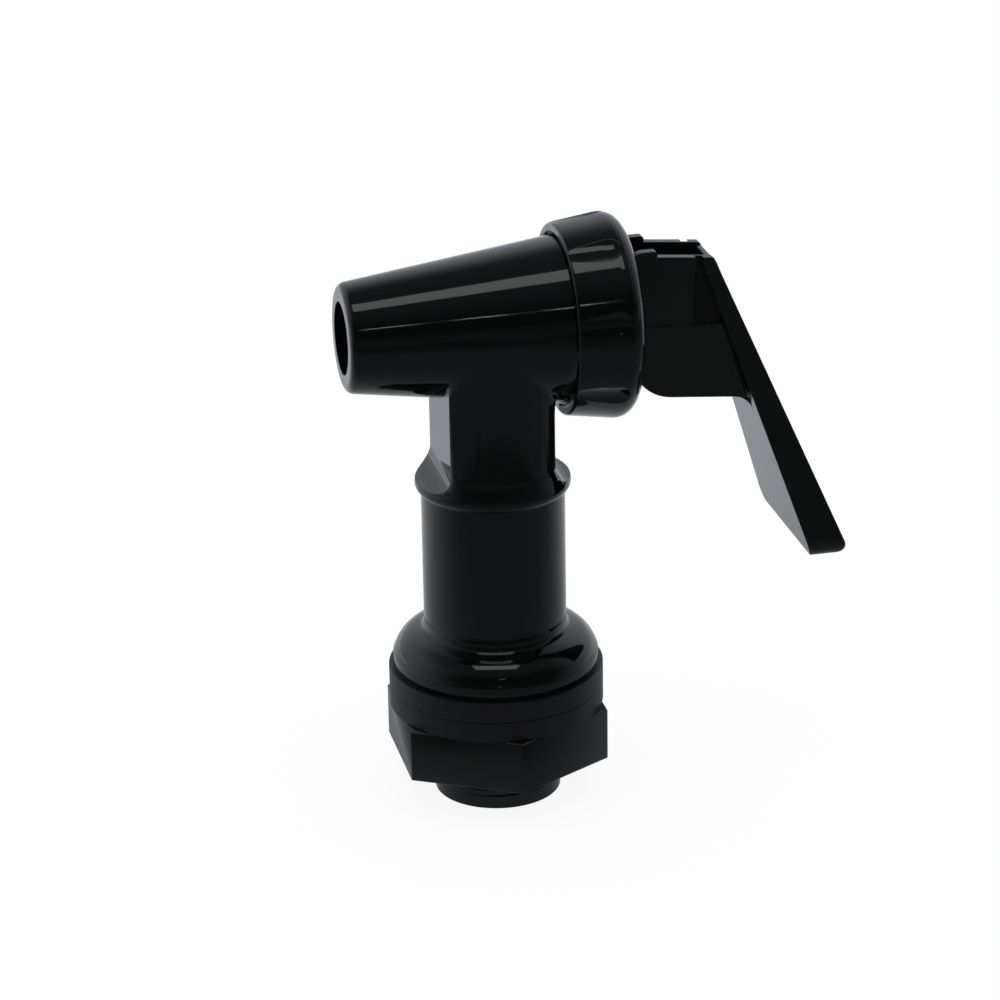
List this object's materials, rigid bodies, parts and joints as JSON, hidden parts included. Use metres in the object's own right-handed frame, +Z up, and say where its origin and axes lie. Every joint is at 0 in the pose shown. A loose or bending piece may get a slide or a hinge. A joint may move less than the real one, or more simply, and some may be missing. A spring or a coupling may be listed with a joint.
{
  "type": "beverage dispenser faucet",
  "caption": "Self-closing faucet for a beverage dispenser: threaded shank with nut and washers, tapered spout, screw bonnet and a push lever that lifts the valve stem.",
  "frame": {"origin": "centre of the shank's threaded end face, on the shank's axis", "axes": "+Z up along the shank, spout outlet towards -X, bonnet and lever towards +X"},
  "size_m": [0.0729, 0.035, 0.0889],
  "materials": {
    "body_plastic": "polished moulded black",
    "lever_plastic": "satin moulded black",
    "nut_plastic": "satin moulded black",
    "rubber": "matte moulded rubber",
    "silicone": "matte food-grade silicone",
    "stem_plastic": "natural acetal",
    "spring_steel": "drawn stainless wire"
  },
  "bodies": {
    "faucet_body": {"body": "body_plastic", "outer_washer": "rubber"},
    "washer_carrier": {"inner_washer": "rubber"},
    "nut": {"hex_nut": "nut_plastic"},
    "valve_cup": {"seat_cup": "silicone"},
    "bonnet": {"bonnet_cap": "body_plastic"},
    "spring_carrier": {"return_spring": "spring_steel"},
    "valve_stem": {"stem": "stem_plastic"},
    "lever": {"lever_handle": "lever_plastic"}
  },
  "joints": [
    {"name": "nut_travel", "type": "slide", "parent": "faucet_body", "child": "washer_carrier", "axis": [0, 0, -1], "range_m": [0, 0.006]},
    {"name": "nut_turn", "type": "hinge", "parent": "washer_carrier", "child": "nut", "pos_m": [0, 0, 0.01], "axis": [0, 0, -1], "range_deg": [0, 1361]},
    {"name": "bonnet_travel", "type": "slide", "parent": "faucet_body", "child": "valve_cup", "axis": [1, 0, 0], "range_m": [0, 0.005]},
    {"name": "bonnet_turn", "type": "hinge", "parent": "valve_cup", "child": "bonnet", "pos_m": [0.015, 0, 0.0737], "axis": [1, 0, 0], "range_deg": [0, 900.5]},
    {"name": "lever_swivel", "type": "hinge", "parent": "valve_cup", "child": "spring_carrier", "pos_m": [0.015, 0, 0.0737], "axis": [1, 0, 0], "continuous": true},
    {"name": "stem_lift", "type": "slide", "parent": "spring_carrier", "child": "valve_stem", "axis": [1, 0, 0], "range_m": [0, 0.00282], "stiffness_N_per_m": 1200, "springref_m": -0.004, "deforming": ["return_spring", "seat_cup"]},
    {"name": "lever_tilt", "type": "hinge", "parent": "valve_stem", "child": "lever", "pos_m": [0.0266, 0, 0.0737], "axis": [0, 1, 0], "range_deg": [0, 30]}
  ],
  "couplings": [
    {"joint": "nut_turn", "follows": "nut_travel", "rad_per_m": 3957.9},
    {"joint": "bonnet_turn", "follows": "bonnet_travel", "rad_per_m": 3141.6},
    {"joint": "lever_tilt", "follows": "stem_lift", "rad_per_m": 185.19}
  ]
}
